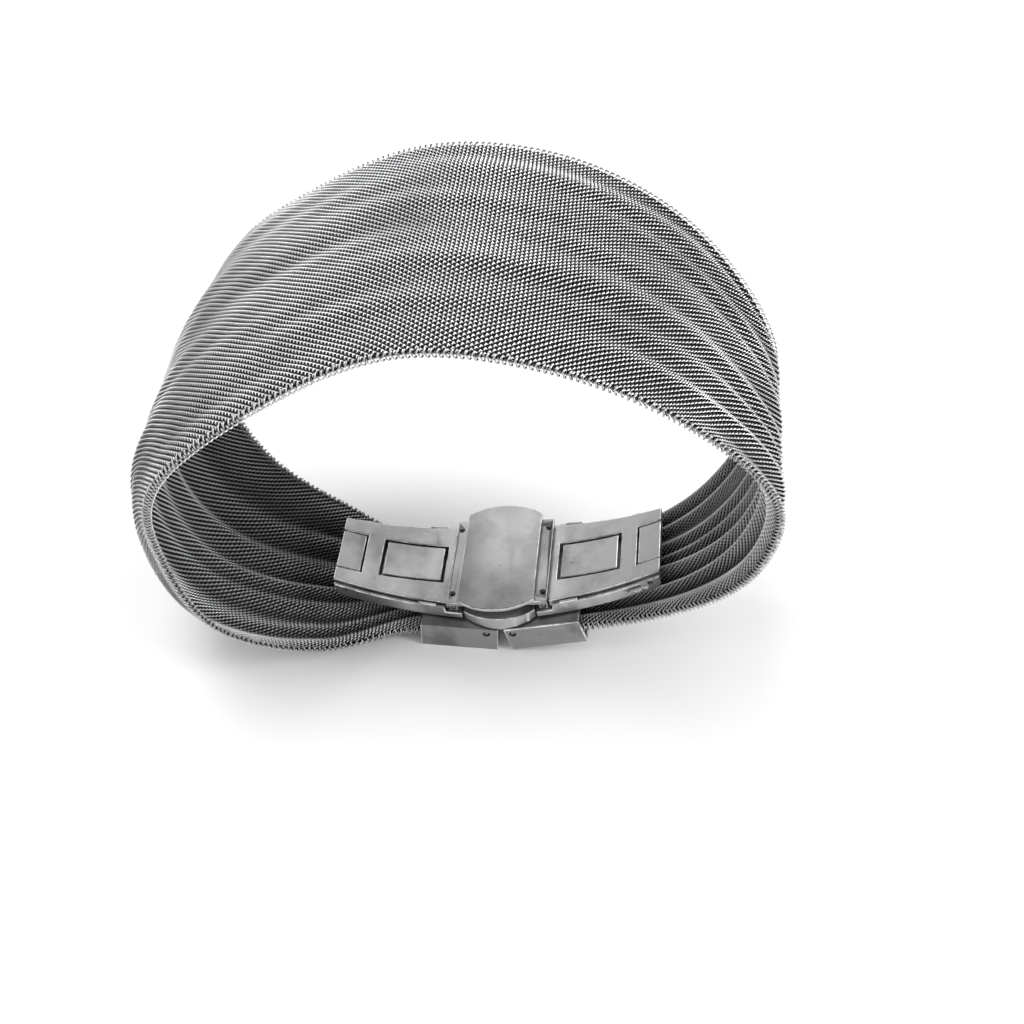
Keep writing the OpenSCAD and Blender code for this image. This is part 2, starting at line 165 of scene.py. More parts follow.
# The pins and rivets: the steel of their ends and the steel of their rounded edges. The darker steel is
# painted shade on the rivets and on the rounded edges of the cap and inner pins.
PIN_PIECES = {
    "cap_pin_left": ("light", "grimy"),
    "cap_pin_right": ("light", "grimy"),
    "outer_pin_left": ("light", "light"),
    "outer_pin_right": ("light", "light"),
    "inner_pin_left": ("light", "grimy"),
    "inner_pin_right": ("light", "grimy"),
    "rivet_near_left": ("grimy", "grimy"),
    "rivet_near_right": ("grimy", "grimy"),
    "rivet_far_left": ("grimy", "grimy"),
    "rivet_far_right": ("grimy", "grimy"),
}
PIN_BEVEL = 0.00012
# Room that a worn edge needs at its corners and on its faces, as a share of its bevel.
EDGE_ROOM = 2.5
# Angle between faces from which an edge is worn, up to which faces count as one flat face, and
# from which an edge is shaded sharp.
WORN_ANGLE = math.radians(32)
FLAT_ANGLE = math.radians(0.6)
SHARP_ANGLE = math.radians(20)
# Distance in metres within which two points of a solid are one.
SAME_POINT = 1e-7

# The satin steels: their material, the settings with their lighter and darker colour, their lowest
# roughness and a shift of the noise, so that no two of them have the same stains. Beside the steel of
# the left leaf and arm and the carrier, they are lighter copies as painted light and a darker copy for
# the caps as painted shade.
CLASP_STEELS = {
    "leaf": ("clasp_steel", "clasp_light", "clasp_dark", 0.34, 0),
    "bright": ("bright_steel", "button", "clasp_light", 0.34, 75),
    "cap": ("cap_steel", "cap_light", "cap_dark", 0.34, 45),
    "plate": ("plate_steel", "plate", "clasp_light", 0.4, 60),
    "button": ("button_steel", "button", "clasp_light", 0.3, 25),
}
PIN_STEELS = {
    "light": ("pin_steel", "clasp_light", "clasp_dark", 0.25, 90),
    # Painted shade: the near-black steel of the rivets and of the rounded edges of the cap and inner
    # pins.
    "grimy": ("grimy_steel", "painted_deep_shade", "painted_deep_shade", 0.16, 90),
}

# The lights: their place and size in metres, and the setting with their power.
LIGHTS = {
    "key_light": ((-0.1, 0.02, 0.43), 0.2, "key_power"),
    "back_light": ((-0.05, 0.32, 0.34), 0.3, "back_power"),
    "side_light": ((0.34, -0.08, 0.3), 0.16, "side_power"),
    "low_light": ((0.36, -0.1, 0.1), 0.14, "low_power"),
    "left_light": ((-0.34, -0.12, 0.24), 0.14, "left_power"),
}
# The point that every light faces.
LIGHT_AIM = (0.0, 0.0, 0.02)
# Half the floor's side, in metres.
FLOOR_REACH = 1.5


def length(name, text, value):
    return FloatProperty(
        name=name, description=text, default=value, min=0.0, unit="LENGTH", precision=5
    )


def angle(name, text, degrees):
    return FloatProperty(
        name=name, description=text, default=math.radians(degrees), subtype="ANGLE"
    )


def power(name, text, watts):
    return FloatProperty(name=name, description=text, default=watts, unit="POWER")


def colour(name, text, value):
    return FloatVectorProperty(
        name=name, description=text, default=value, size=3, min=0.0, max=1.0, subtype="COLOR"
    )


class BandSizes(bpy.types.PropertyGroup):
    """Sizes of the loop and of its weave"""

    loop_w: length("Loop length", "Overall length of the closed loop", 0.061)
    loop_h: length("Loop height", "Height of the band's rims at the top of the loop", 0.05)
    band_w: length("Band width", "Width of the band at its widest place", 0.031)
    flat_w: length("Flat width", "Width of the woven band before it is gathered", 0.0285)
    seam_gap: length("Seam gap", "Gap between the caps at the top of the seam", 0.0005)
    cap_wall: length("Cap wall", "Wall of a cap, with the gap to the band inside it", 0.00057)
    mouth_in: length("Reach into the cap", "How far the band reaches into a cap", 0.003)
    fold: angle("Fold", "Rise of each cap from the clasp's middle", 9)
    pleats: IntProperty(
        name="Pleats", description="Pleats gathered across the band", default=7, min=3, max=12
    )
    pleat_h: length("Pleat height", "Largest height of a pleat's wave over its middle", 0.00042)
    ripple_h: length("Ripple height", "Height of the soft ripples over the loop's top", 0.00018)
    wire: length("Wire", "Diameter of the wire", 0.000165)
    rim_wire: length("Rim wire", "Diameter of the hairpins along the rims", 0.000175)
    depth: length("Weave depth", "Thickness of the woven band", 0.00092)
    coil_step: length("Coil step", "Distance from one wire coil to the next", 0.00035)
    turn_step: length("Turn step", "Distance from one turn of a coil to the next", 0.0005)
    turn_reach: FloatProperty(
        name="Turn reach",
        description="Half the length of a turn as a share of the coil step",
        default=0.74,
        min=0.5,
    )
    rim_step: length("Rim step", "Distance from one hairpin along a rim to the next", 0.00054)
    rim_reach: length("Rim reach", "How far the hairpins reach past the last turn", 0.0002)


class Finishes(bpy.types.PropertyGroup):
    """Colours of the steel and of the stage"""

    wire_bright: colour("Wire, outside", "Wire on the band's outer face", (0.98, 0.98, 0.985))
    wire_dull: colour("Wire, inside", "Wire on the band's inner face", (0.98, 0.98, 0.985))
    # Painted shade: this near-black colour darkens the middle of the weave's depth, the rivets and the
    # rounded edges of the cap and inner pins.
    painted_deep_shade: colour("Grime", "Dark grime in the depth of the weave", (0.03, 0.03, 0.032))
    # The clasp's colours below are lighter and darker copies of one steel: painted light on the plate,
    # the buttons and the right arm and leaf, painted shade on the caps.
    clasp_light: colour("Clasp, light", "Lighter patches of the satin steel", (0.39, 0.39, 0.388))
    clasp_dark: colour("Clasp, dark", "Darker stains of the satin steel", (0.27, 0.27, 0.268))
    plate: colour("Plate", "Lighter patches of the centre plate's steel", (0.5, 0.5, 0.498))
    cap_light: colour("Caps, light", "Lighter patches of the caps' steel", (0.32, 0.32, 0.318))
    cap_dark: colour("Caps, dark", "Darker stains of the caps' steel", (0.2, 0.2, 0.198))
    button: colour("Button", "Lighter patches of the buttons and the right arm", (0.5, 0.5, 0.498))
    worn_edge: colour("Worn edge", "Steel that wear has polished on the edges", (0.9, 0.9, 0.895))
    floor: colour("Floor", "The surface that the bracelet stands on", (0.73, 0.73, 0.73))


class StageSizes(bpy.types.PropertyGroup):
    """Camera and lights"""

    lens: FloatProperty(
        name="Lens", description="Focal length in millimetres", default=49.2, min=1.0
    )
    sensor: FloatProperty(
        name="Sensor", description="Width of the sensor in millimetres", default=36.0, min=1.0
    )
    distance: length("Camera distance", "Distance from the camera to its target", 0.142)
    target: FloatVectorProperty(
        name="Target",
        description="Point that the camera looks at",
        default=(0.00495, 0.0, 0.01493),
        unit="LENGTH",
    )
    turn: angle("Turn", "Camera's turn to the right", 5.37)
    rise: angle("Rise", "Camera's angle over the horizon", 49.15)
    key_power: power("Key light", "Power of the large light above", 0.95)
    back_power: power("Back light", "Power of the light behind", 0.35)
    side_power: power("Side light", "Power of the light at the right", 0.98)
    low_power: power("Low light", "Power of the low light at the right", 0.5)
    left_power: power("Left light", "Power of the light at the left", 0.36)
    sky: FloatProperty(
        name="Surrounding light", description="Strength of the even light all round", default=0.8
    )


# The loop's surface.


def add_waves(waves, v, share):
    """The sum of sine waves, at v from -1 to 1 across the band and a share of the way along it."""
    return sum(
        height * np.sin(across * v + along * share + start) for height, across, along, start in waves
    )


class Loop:
    """The band's surface: a smooth run of sections with pleats and ripples, in metres."""

    def __init__(self, sizes):
        self.sizes = sizes
        self.rows = self.make_rows()
        self.steps = np.linalg.norm(np.diff(self.rows[:, :2], axis=0), axis=1)
        self.places = np.concatenate([[0.0], np.cumsum(self.steps)])
        self.run = self.places[-1]
        self.tangents = self.make_tangents()

    def make_rows(self):
        """X, Z, half width, bulge and shift along Y of each section; two lie in each cap."""
        sizes = self.sizes
        cap_l, cap_w, cap_h = CAP_HIGH - CAP_LOW
        foot = sizes.seam_gap / 2 + cap_h * math.sin(sizes.fold)
        foot_x, foot_z = foot * math.cos(sizes.fold), foot * math.sin(sizes.fold)
        seat_x = foot_x + cap_l / 2
        lean = 2 * sizes.fold
        right = np.array(
            [
                seat_x + foot_x + cap_l * math.cos(lean) - math.sin(lean) * cap_h / 2,
                2 * foot_z + cap_l * math.sin(lean) + math.cos(lean) * cap_h / 2,
            ]
        )
        left = np.array([seat_x - foot_x - cap_l, cap_h / 2])
        right_in = right - sizes.mouth_in * np.array([math.cos(lean), math.sin(lean)])
        left_in = left + sizes.mouth_in * np.array([1.0, 0.0])
        mouth = (cap_w / 2 - sizes.cap_wall, 0.0, 0.0)
        scale = (sizes.loop_w, sizes.loop_h, sizes.band_w, sizes.band_w, sizes.band_w)
        free = np.array(SECTIONS) * scale + (seat_x, 0.0, 0.0, 0.0, 0.0)
        start = [(*right_in, *mouth), (*right, *mouth)]
        end = [(*left, *mouth), (*left_in, *mouth)]
        return np.concatenate([start, free, end])

    def make_tangents(self):
        """The slope of each section's values, so that the loop runs smoothly through them."""
        before, after = self.steps[:-1, None], self.steps[1:, None]
        slopes = np.diff(self.rows, axis=0) / self.steps[:, None]
        inner = (slopes[:-1] * after + slopes[1:] * before) / (before + after)
        return np.concatenate([slopes[:1], inner, slopes[-1:]])

    def section(self, s):
        """X, Z, half width, bulge and shift at distances s along the loop."""
        i = np.clip(np.searchsorted(self.places, s, side="right") - 1, 0, len(self.steps) - 1)
        step = self.steps[i][..., None]
        t = ((s - self.places[i]) / self.steps[i])[..., None]
        return (
            self.rows[i] * (2 * t**3 - 3 * t**2 + 1)
            + self.rows[i + 1] * (3 * t**2 - 2 * t**3)
            + step * self.tangents[i] * (t**3 - 2 * t**2 + t)
            + step * self.tangents[i + 1] * (t**3 - t**2)
        )

    def seated_share(self, s):
        """1 at a cap's mouth, 0 where the band has left the pocket's middle."""
        from_mouth = np.clip(np.minimum(s, self.run - s) - self.sizes.mouth_in, 0, None)
        t = np.clip(1 - from_mouth / SEAT_FADE, 0, 1)
        return t * t * (3 - 2 * t)

    def wave(self, s, v, half):
        """Height of the pleats and ripples over the pleats' middle, the pleats' own height, and how far
        a place is up a pleat and up a ripple, as shares from 0 to 1."""
        sizes = self.sizes
        fullness = np.clip(sizes.flat_w / (2 * half) - 1, 0, FULL_GATHER)
        height = sizes.pleat_h * fullness / FULL_GATHER
        share = s / self.run
        off_rim = 1 - v * v
        sway = add_waves(PLEAT_SWAY, v, share) * off_rim
        pleat = np.cos(math.pi * sizes.pleats * (v + 1 + sway))
        unequal = 1 + add_waves(PLEAT_HEIGHTS, v, share) * off_rim
        ripple = add_waves(RIPPLES, v, share)
        fade = np.clip((1 - np.abs(v)) / RIPPLE_FADE, 0, 1)
        rise = height * (pleat - 1) * unequal
        rise = rise + sizes.ripple_h * (ripple * RIPPLE_SWING - RIPPLE_SINK) * fade
        return rise, height, (1 + pleat) / 2, np.clip(0.5 + RIPPLE_SHARE * ripple, 0, 1)

    def offset(self, s, v, row):
        """How far the outer face stands outside the loop's line."""
        wave, height, _, _ = self.wave(s, v, row[..., 2])
        bulge = row[..., 3] * (1 - np.abs(v) ** BULGE_POWER)
        return bulge + wave + self.seated_share(s) * (self.sizes.depth / 2 + height)

    def outward(self, s):
        """The direction out of the loop, from the slope over a short reach to both sides."""
        reach = 0.0001
        ahead = self.section(np.minimum(s + reach, self.run))
        behind = self.section(np.maximum(s - reach, 0))
        way = (ahead - behind)[..., :2]
        way = way / np.linalg.norm(way, axis=-1, keepdims=True)
        return np.stack([way[..., 1], np.zeros(way.shape[:-1]), -way[..., 0]], axis=-1)

    def point(self, s, v, deep):
        """Points of the band: s along the loop, v from -1 to 1 across it, deep below its outer face."""
        row = self.section(s)
        centre = np.stack([row[..., 0], row[..., 4] + row[..., 2] * v, row[..., 1]], axis=-1)
        return centre + self.outward(s) * (self.offset(s, v, row) - deep)[..., None]

    def light_in_folds(self, s, v, inside):
        """Share of its brightness that the steel keeps: painted shade between the pleats and ripples, on
        the outer face low down and on the inner face high up."""
        _, height, pleat, ripple = self.wave(s, v, self.section(s)[..., 2])
        gathered = height / self.sizes.pleat_h
        open_pleat = pleat * (1 - inside) + (1 - pleat) * inside
        open_ripple = ripple * (1 - inside) + (1 - ripple) * inside
        pleat_shade = PLEAT_SHADE * gathered * (1 - open_pleat) ** 2
        ripple_shade = RIPPLE_SHADE * (1 - gathered) * (1 - open_ripple)
        return 1 - pleat_shade - ripple_shade

    def even_places(self, s, shares):
        """v at even shares of the pleated width, for each distance s."""
        fine = np.linspace(-1, 1, MEASURED_PLACES)
        result = np.empty((len(s), len(shares)))
        for k, place in enumerate(s):
            at = np.full(fine.shape, place)
            row = self.section(at)
            across = row[:, 2] * fine
            rise = self.offset(at, fine, row)
            run = np.concatenate([[0.0], np.cumsum(np.hypot(np.diff(across), np.diff(rise)))])
            reach = self.sizes.rim_reach / run[-1]
            result[k] = np.interp(reach + shares * (1 - 2 * reach), run / run[-1], fine)
        return result


# Meshes.


def new_piece(name, mesh, body=BODY):
    piece = bpy.data.objects.new(name, mesh)
    bpy.context.scene.collection.objects.link(piece)
    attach(piece, body)
    return piece


def quad_mesh(name, points, quads):
    """A smooth mesh of quads from arrays of points and corner numbers."""
    mesh = bpy.data.meshes.new(name)
    mesh.vertices.add(len(points))
    mesh.vertices.foreach_set("co", points.astype(np.float32).ravel())
    mesh.loops.add(quads.size)
    mesh.loops.foreach_set("vertex_index", quads.astype(np.int32).ravel())
    mesh.polygons.add(len(quads))
    mesh.polygons.foreach_set("loop_start", np.arange(0, quads.size, 4, dtype=np.int32))
    mesh.update(calc_edges=True)
    mesh.shade_smooth()
    return mesh


def tubes(paths, ups, radius, sides):
    """Points and quads of a round wire along each path; ups say which way is up at each point."""
    ways = np.empty_like(paths)
    ways[:, 1:-1] = paths[:, 2:] - paths[:, :-2]
    ways[:, 0] = paths[:, 1] - paths[:, 0]
    ways[:, -1] = paths[:, -1] - paths[:, -2]
    ways /= np.linalg.norm(ways, axis=-1, keepdims=True)
    side = np.cross(ways, ups)
    side /= np.linalg.norm(side, axis=-1, keepdims=True)
    top = np.cross(side, ways)
    turn = np.arange(sides) * 2 * math.pi / sides
    ring = np.cos(turn)[:, None] * side[:, :, None] + np.sin(turn)[:, None] * top[:, :, None]
    points = paths[:, :, None] + radius * ring
    count, steps = paths.shape[:2]
    number = np.arange(count * steps * sides).reshape(count, steps, sides)
    here, ahead = number[:, :-1], number[:, 1:]
    quads = np.stack([here, np.roll(here, -1, axis=2), np.roll(ahead, -1, axis=2), ahead], axis=-1)
    return points.reshape(-1, 3), quads.reshape(-1, 4)


def store_share(mesh, name, values):
    """A share from 0 to 1 at each point, for a material to read."""
    layer = mesh.attributes.new(name, "FLOAT", "POINT")
    layer.data.foreach_set("value", values.astype(np.float32).ravel())


def woven_coils(loop, first, last, total):
    """The coils from first to last as one mesh: each runs across the band in flattened turns."""
    sizes = loop.sizes
    turns = int(sizes.flat_w / sizes.turn_step)
    radius = sizes.wire / 2
    coils = np.arange(first, last)
    middle = (coils + 0.5) * loop.run / total
    reach = sizes.coil_step * sizes.turn_reach
    shares, places, depths = np.array(TURN).T
    shift = (coils % 2)[:, None] * COIL_SHIFT
    across = ((np.arange(turns)[:, None] + shares).ravel()[None] + shift) / (turns + COIL_SHIFT)
    s = np.clip(middle[:, None] + reach * np.tile(places, turns), 0, loop.run)
    even = np.linspace(0, 1, EVEN_PLACES)
    table = loop.even_places(middle, even)
    v = np.stack([np.interp(across[k], even, table[k]) for k in range(len(coils))])
    deep = np.broadcast_to(radius + (sizes.depth - 2 * radius) * np.tile(depths, turns), s.shape)
    points, quads = tubes(loop.point(s, v, deep), loop.outward(s), radius, COIL_SIDES)
    mesh = quad_mesh("woven_coils", points, quads)
    inside = deep / sizes.depth
    store_share(mesh, "inside", np.repeat(inside, COIL_SIDES))
    # The share of light that each point keeps under the painted shade of the folds.
    store_share(mesh, "open", np.repeat(loop.light_in_folds(s, v, inside), COIL_SIDES))
    return mesh


def rim_loops(loop):
    """The joined ends of the coils: two rows of hairpins along each rim, one behind the other."""
    sizes = loop.sizes
    radius = sizes.rim_wire / 2
    count = int(loop.run / sizes.rim_step)
    step = loop.run / count
    start, end = RIM_BEND
    bend = np.linspace(start * math.pi, end * math.pi, RIM_POINTS)
    inset = sizes.rim_reach * (1 - np.sin(bend)) + radius
    all_points, all_quads = [], []
    for place, first, last in RIM_ROWS:
        middle = (np.arange(count) + place) * step
        s = np.clip(middle[:, None] + step * RIM_LEAN * (bend / math.pi - 0.5), 0, loop.run)
        share = first + (last - first) * (1 - np.cos(bend)) / 2
        deep = np.broadcast_to(radius + (sizes.depth - 2 * radius) * share, s.shape)
        half = loop.section(middle)[:, 2]
        along = np.cross(loop.outward(s), (0.0, 1.0, 0.0))
        for side in (-1, 1):
            v = side * (1 - inset[None] / half[:, None])
            points, quads = tubes(loop.point(s, v, deep), along, radius, RIM_SIDES)
            all_quads.append(quads + sum(len(p) for p in all_points))
            all_points.append(points)
    mesh = quad_mesh("rim_loops", np.concatenate(all_points), np.concatenate(all_quads))
    store_share(mesh, "inside", np.full(len(mesh.vertices), RIM_SHARE))
    store_share(mesh, "open", np.ones(len(mesh.vertices)))
    return mesh


def dark_core(loop):
    """A thin closed sheet in the middle of the weave, which keeps light from passing through it; its
    near-black colour is painted shade.
    """
    along, across = CORE_CELLS
    s = np.linspace(0, loop.run, along + 1)
    v = loop.even_places(s, np.linspace(CORE_RIM, 1 - CORE_RIM, across + 1))
    s = np.repeat(s[:, None], across + 1, axis=1)
    points = np.stack(
        [loop.point(s, v, np.full(s.shape, loop.sizes.depth * share)) for share in CORE_FACES]
    )
    outer, inner = np.arange(points[..., 0].size).reshape(points.shape[:3])
    faces = [
        np.stack([outer[:-1, :-1], outer[1:, :-1], outer[1:, 1:], outer[:-1, 1:]], -1),
        np.stack([inner[:-1, :-1], inner[:-1, 1:], inner[1:, 1:], inner[1:, :-1]], -1),
    ]
    rims = (
        (inner[:, 0], outer[:, 0]),
        (outer[0], inner[0]),
        (outer[:, -1], inner[:, -1]),
        (inner[-1], outer[-1]),
    )
    faces += [np.stack([a[:-1], b[:-1], b[1:], a[1:]], -1) for a, b in rims]
    quads = np.concatenate([group.reshape(-1, 4) for group in faces])
    return quad_mesh("dark_core", points.reshape(-1, 3), quads)


def sharp_edges(form):
    """Every edge where two faces meet sharply."""
    return [
        edge
        for edge in form.edges
        if len(edge.link_faces) == 2 and edge.calc_face_angle(0) > WORN_ANGLE
    ]


def worn_edges(form, bevel):
    """Sharp outer edges with room for a bevel: none in a crowded corner or beside a sliver of a face."""
    room = EDGE_ROOM * bevel
    open_corners = {
        point
        for point in form.verts
        if min(edge.calc_length() for edge in point.link_edges) > room
    }
    slivers = {
        face
        for face in form.faces
        if face.calc_area() < room * max(edge.calc_length() for edge in face.edges)
    }
    return [
        edge
        for edge in sharp_edges(form)
        if edge.is_convex
        and open_corners.issuperset(edge.verts)
        and slivers.isdisjoint(edge.link_faces)
    ]


def bevelled_copy(node, bevel, all_edges=False):
    """A copy of a solid's mesh with merged flat faces and worn, rounded edges."""
    form = bmesh.new()
    form.from_mesh(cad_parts[node].data)
    bmesh.ops.remove_doubles(form, verts=form.verts, dist=SAME_POINT)
    bmesh.ops.dissolve_limit(form, angle_limit=FLAT_ANGLE, verts=form.verts, edges=form.edges)
    bmesh.ops.bevel(
        form,
        geom=sharp_edges(form) if all_edges else worn_edges(form, bevel),
        offset=bevel,
        offset_type="OFFSET",
        segments=2,
        profile=0.5,
        affect="EDGES",
        clamp_overlap=all_edges,
        material=1,
    )
    bmesh.ops.triangulate(form, faces=[face for face in form.faces if len(face.verts) > 4])
    mesh = bpy.data.meshes.new(node + "_worn")
    form.to_mesh(mesh)
    form.free()
    mesh.shade_smooth()
    mesh.set_sharp_from_angle(angle=SHARP_ANGLE)
    return mesh


# Materials.


def start_material(name, metal=1.0):
    """A new material, its node tree and its main shader."""
    material = bpy.data.materials.new(name)
    material.use_nodes = True
    shader = material.node_tree.nodes["Principled BSDF"]
    shader.inputs["Metallic"].default_value = metal
    return material, material.node_tree, shader


def noise(tree, scale, detail=3.0, rough=0.55, stretch=None):
    """Noise over the object's own coordinates, with its scale per metre."""
    place = tree.nodes.new("ShaderNodeTexCoord").outputs["Object"]
    if stretch:
        mapping = tree.nodes.new("ShaderNodeMapping")
        mapping.inputs["Scale"].default_value = stretch
        tree.links.new(place, mapping.inputs["Vector"])
        place = mapping.outputs["Vector"]
    node = tree.nodes.new("ShaderNodeTexNoise")
    node.inputs["Scale"].default_value = scale
    node.inputs["Detail"].default_value = detail
    node.inputs["Roughness"].default_value = rough
    tree.links.new(place, node.inputs["Vector"])
    return node.outputs["Fac"]


def stored_share(tree, name):
    """A share that the mesh stores at its points."""
    node = tree.nodes.new("ShaderNodeAttribute")
    node.attribute_name = name
    return node.outputs["Fac"]


def ramp(tree, share, *stops):
    """A share turned into a colour by stops of (place, colour)."""
    node = tree.nodes.new("ShaderNodeValToRGB")
    for _ in range(len(stops) - 2):
        node.color_ramp.elements.new(0.5)
    for element, (place, shade) in zip(node.color_ramp.elements, stops):
        element.position = place
        element.color = (*shade, 1.0)
    tree.links.new(share, node.inputs["Fac"])
    return node.outputs["Color"]


def grey(value):
    return (value, value, value)


def multiply(tree, first, second):
    """The product of two colours."""
    node = tree.nodes.new("ShaderNodeMix")
    node.data_type = "RGBA"
    node.blend_type = "MULTIPLY"
    node.inputs["Factor"].default_value = 1.0
    tree.links.new(first, node.inputs["A"])
    tree.links.new(second, node.inputs["B"])
    return node.outputs["Result"]


def map_share(tree, share, low, high):
    """A share from 0 to 1 mapped to the values from low to high."""
    node = tree.nodes.new("ShaderNodeMapRange")
    node.inputs["To Min"].default_value = low
    node.inputs["To Max"].default_value = high
    tree.links.new(share, node.inputs["Value"])
    return node.outputs["Result"]


def add_bump(tree, shader, height, strength, distance):
    node = tree.nodes.new("ShaderNodeBump")
    node.inputs["Strength"].default_value = strength
    node.inputs["Distance"].default_value = distance
    tree.links.new(height, node.inputs["Height"])
    tree.links.new(node.outputs["Normal"], shader.inputs["Normal"])


def wire_material(shades):
    """Round steel wire: bright on the crests of both faces, with painted shade deep between them and in
    the folds.
    """
    material, tree, shader = start_material("woven_wire")
    inside, open_share = stored_share(tree, "inside"), stored_share(tree, "open")
    bright, dull, painted_deep_shade = tuple(shades.wire_bright), tuple(shades.wire_dull), tuple(shades.painted_deep_shade)
    # Painted shade: a share of the near-black shade mixed into the bright steel gives the half-shaded
    # colour named worn, and the ramp below makes the wire near black in the middle of the weave's depth,
    # where the wires dive under each other.
    shade_share = 0.3
    worn = tuple((1 - shade_share) * b + shade_share * g for b, g in zip(bright, painted_deep_shade))
    depths = (0.13, 0.22, 0.33, 0.68, 0.88)
    base = ramp(tree, inside, *zip(depths, (bright, worn, painted_deep_shade, painted_deep_shade, dull)))
    # Painted shade between the pleats and ripples, from the share of light that each point keeps.
    in_folds = ramp(tree, open_share, (0.0, grey(0.0)), (1.0, grey(1.0)))
    base = multiply(tree, base, in_folds)
    tarnish = ramp(tree, noise(tree, scale=180, detail=2.0), (0.35, grey(0.88)), (0.6, grey(1.0)))
    base = multiply(tree, base, tarnish)
    tree.links.new(base, shader.inputs["Base Color"])
    tree.links.new(map_share(tree, inside, low=0.26, high=0.38), shader.inputs["Roughness"])
    return material


def core_material():
    """Painted shade: the near-black depth between the two faces of the weave."""
    material, tree, shader = start_material("weave_depth", metal=0.0)
    # Painted shade: near black with a faint uneven tone.
    depth_tone = ramp(tree, noise(tree, scale=1500), (0.4, grey(0.012)), (0.7, grey(0.03)))
    tree.links.new(depth_tone, shader.inputs["Base Color"])
    shader.inputs["Roughness"].default_value = 0.85
    shader.inputs["Specular IOR Level"].default_value = 0.2
    return material


def satin_material(name, light, dark, smooth, shift):
    """Satin steel with soft stains, faint smears, specks and a fine uneven surface."""
    material, tree, shader = start_material(name)
    patches = noise(tree, scale=130 + shift, detail=4.0)
    stains = ramp(tree, patches, (0.38, dark), (0.5, light), (0.68, light))
    wipes = noise(tree, scale=300 + shift, detail=2.0, rough=0.5, stretch=(1.0, 0.4, 1.0))
    base = multiply(tree, stains, ramp(tree, wipes, (0.42, grey(0.92)), (0.5, grey(1.0))))
    specks = noise(tree, scale=1700, detail=2.0)
    base = multiply(tree, base, ramp(tree, specks, (0.24, grey(0.6)), (0.3, grey(1.0))))
    tree.links.new(base, shader.inputs["Base Color"])
    gloss = map_share(tree, noise(tree, scale=330 + shift, detail=4.0), low=smooth, high=smooth + 0.22)
    tree.links.new(gloss, shader.inputs["Roughness"])
    grain = noise(tree, scale=2600, detail=4.0, rough=0.7)
    add_bump(tree, shader, grain, strength=0.25, distance=0.00004)
    return material


def satin_steels(rows, shades):
    """The satin materials of a table of steels, by the names that the pieces use."""
    return {
        steel: satin_material(
            name, tuple(getattr(shades, light)), tuple(getattr(shades, dark)), smooth, shift
        )
        for steel, (name, light, dark, smooth, shift) in rows.items()
    }


def edge_material(shade):
    """Steel that wear has rubbed bright along the edges."""
    material, tree, shader = start_material("worn_edge")
    spots = noise(tree, scale=800, detail=4.0, rough=0.6)
    rubbed = ramp(tree, spots, (0.35, grey(0.35)), (0.6, tuple(shade)))
    tree.links.new(rubbed, shader.inputs["Base Color"])
    gloss = map_share(tree, noise(tree, scale=1500), low=0.18, high=0.4)
    tree.links.new(gloss, shader.inputs["Roughness"])
    return material


def floor_material(shade):
    """A plain pale surface with a barely uneven tone."""
    material, tree, shader = start_material("pale_floor", metal=0.0)
    darker = tuple(channel * 0.99 for channel in shade)
    tone = ramp(tree, noise(tree, scale=6.0), (0.3, darker), (0.7, tuple(shade)))
    tree.links.new(tone, shader.inputs["Base Color"])
    shader.inputs["Roughness"].default_value = 0.7
    shader.inputs["Specular IOR Level"].default_value = 0.3
    return material


# Operators.


class BRACELET_OT_weave_band(bpy.types.Operator):
    """Weave the band from flattened wire coils that hook into each other"""

    bl_idname = "bracelet.weave_band"
    bl_label = "Weave the band"
    bl_options = {"REGISTER", "UNDO"}

    def execute(self, context):
        sizes = context.scene.bracelet_band
        loop = Loop(sizes)
        steel = wire_material(context.scene.bracelet_finishes)
        total = int(loop.run / sizes.coil_step)
        marks = [total * k // STRETCHES for k in range(STRETCHES + 1)]
        for k in range(STRETCHES):
            mesh = woven_coils(loop, marks[k], marks[k + 1], total)
            self.place_weave(f"woven_stretch_{k + 1}", mesh, steel)
        self.place_weave("rim_loops", rim_loops(loop), steel)
        self.place_weave("weave_depth", dark_core(loop), core_material())
        return {"FINISHED"}

    def place_weave(self, name, mesh, material):
        mesh.materials.append(material)
        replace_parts(new_piece(name, mesh), "mesh_band")


class BRACELET_OT_finish_clasp(bpy.types.Operator):
    """Round and wear the edges of the clasp's pieces and give them their satin steel"""

    bl_idname = "bracelet.finish_clasp"
    bl_label = "Finish the clasp"
    bl_options = {"REGISTER", "UNDO"}

    def execute(self, context):
        shades = context.scene.bracelet_finishes
        steels = satin_steels(CLASP_STEELS, shades)
        edge = edge_material(shades.worn_edge)
        for node, (bevel, slot, steel) in CLASP_PIECES.items():
            mesh = bevelled_copy(node, bevel)
            mesh.materials.append(steels[steel])
            mesh.materials.append(edge)
            piece = new_piece(node + "_worn", mesh, BUTTON_BODIES.get(node, BODY))
            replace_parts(piece, node)
        return {"FINISHED"}


class BRACELET_OT_finish_pins(bpy.types.Operator):
    """Give the pins and rivets their plain steel and rounded ends"""

    bl_idname = "bracelet.finish_pins"
    bl_label = "Finish the pins and rivets"
    bl_options = {"REGISTER", "UNDO"}

    def execute(self, context):
        steels = satin_steels(PIN_STEELS, context.scene.bracelet_finishes)
        for node, finishes in PIN_PIECES.items():
            mesh = bevelled_copy(node, PIN_BEVEL, all_edges=True)
            for finish in finishes:
                mesh.materials.append(steels[finish])
            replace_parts(new_piece(node + "_worn", mesh), node)
        return {"FINISHED"}


